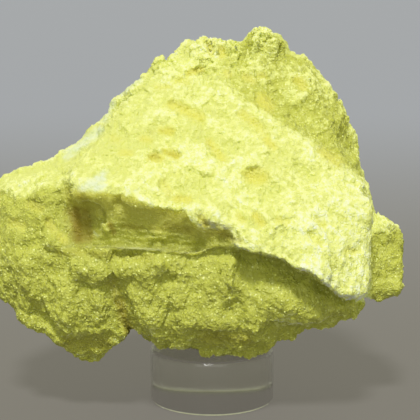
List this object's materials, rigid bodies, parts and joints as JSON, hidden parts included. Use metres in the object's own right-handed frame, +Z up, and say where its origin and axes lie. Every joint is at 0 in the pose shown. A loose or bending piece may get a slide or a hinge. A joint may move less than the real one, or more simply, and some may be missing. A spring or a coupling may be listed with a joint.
{
  "type": "native sulfur hand specimen on a display stand",
  "caption": "Broken lump of massive yellow native sulfur, about hand size, resting on a short clear round display stand.",
  "frame": {"origin": "centre of the stand's base, on the surface that it rests on", "axes": "+Z up along the stand's axis, +X along the specimen's long side, -Y towards the specimen's front"},
  "size_m": [0.0825, 0.0506, 0.0751],
  "materials": {
    "sulfur": "matte, granular, lemon yellow with powdery pale patches",
    "stand": "clear moulded acrylic, polished"
  },
  "bodies": {
    "root": {"sulfur": "sulfur", "stand": "stand"}
  },
  "joints": []
}
